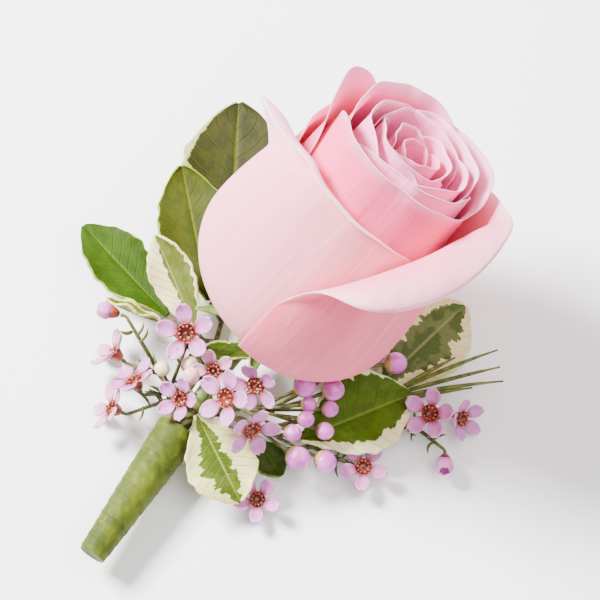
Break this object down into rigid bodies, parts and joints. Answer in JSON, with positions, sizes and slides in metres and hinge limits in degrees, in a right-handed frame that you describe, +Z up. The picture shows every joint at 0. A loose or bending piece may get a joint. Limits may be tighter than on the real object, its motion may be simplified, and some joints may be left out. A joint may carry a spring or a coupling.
{
  "type": "flower lapel pin",
  "caption": "Rose boutonniere with variegated leaves and waxflower sprigs bound in green tape, on a straight lapel pin.",
  "frame": {"origin": "the start of the pin's straight shaft, on its axis, at the foot of its bend", "axes": "+Y along the taped stem towards the flower, opposite to the way the pin points; +Z up from the surface it lies on, through the stem to the face of the flower; +X to the right of the stem seen from above"},
  "size_m": [0.0917, 0.1055, 0.0655],
  "materials": {
    "petal_guard": "satin petal skin, pale pink shaded cream at the base",
    "petal_cup": "satin petal skin, pale pink",
    "petal_inner": "satin petal skin, deeper pink between the petals",
    "calyx_green": "matt green",
    "stem_green": "matt green",
    "floral_tape": "waxed crepe paper, satin",
    "pin_steel": "polished steel",
    "leaf_dark": "waxy leaf, dark olive with cream nicks at its margin",
    "leaf_green": "waxy leaf, fresh green with a cream margin",
    "leaf_cream": "waxy leaf, cream with a ragged green middle",
    "twig_bark": "green brown bark",
    "sprig_green": "matt green",
    "needle_green": "matt green",
    "bud_pink": "glossy bud skin, lilac pink",
    "bud_cream": "glossy bud skin, cream",
    "floret_pink": "waxy petal, lilac pink with a red brown cup"
  },
  "bodies": {
    "root": {"petal_guard_right": "petal_guard", "petal_guard_left": "petal_guard", "petal_guard_back_left": "petal_guard", "petal_guard_back": "petal_guard", "petal_tall_back": "petal_cup", "petal_cup_front": "petal_cup", "petal_cup_right": "petal_cup", "petal_cup_left": "petal_cup", "petals_outer_ring": "petal_inner", "petals_middle_ring": "petal_inner", "petals_inner_ring": "petal_inner", "petals_heart": "petal_inner", "rose_calyx": "calyx_green", "rose_sepals": "calyx_green", "rose_stem": "stem_green", "tape_wrap": "floral_tape", "lapel_pin": "pin_steel", "leaf_top": "leaf_dark", "leaf_mid": "leaf_green", "leaf_far": "leaf_green", "leaf_half": "leaf_cream", "leaf_edge": "leaf_cream", "leaf_under": "leaf_green", "leaf_bottom": "leaf_cream", "leaf_right": "leaf_green", "leaf_back": "leaf_cream", "leaf_low": "leaf_dark", "foliage_twig_left": "twig_bark", "foliage_twig_right": "twig_bark", "foliage_twig_front": "twig_bark", "sprig_left": "sprig_green", "sprig_middle": "sprig_green", "sprig_right": "twig_bark", "needles": "needle_green", "buds_middle": "bud_pink", "buds_right": "bud_pink", "buds_left": "bud_cream", "floret_front_left": "floret_pink", "floret_front_right": "floret_pink", "floret_front_low": "floret_pink", "floret_side": "floret_pink", "floret_low": "floret_pink", "floret_left_high": "floret_pink", "floret_left_low": "floret_pink", "floret_left_pale": "floret_pink", "floret_left_dark": "floret_pink", "floret_left_bell": "floret_pink", "floret_behind": "floret_pink", "floret_right_high": "floret_pink", "floret_right_side": "floret_pink", "floret_right_bell": "floret_pink", "floret_right_low": "floret_pink"}
  },
  "joints": []
}
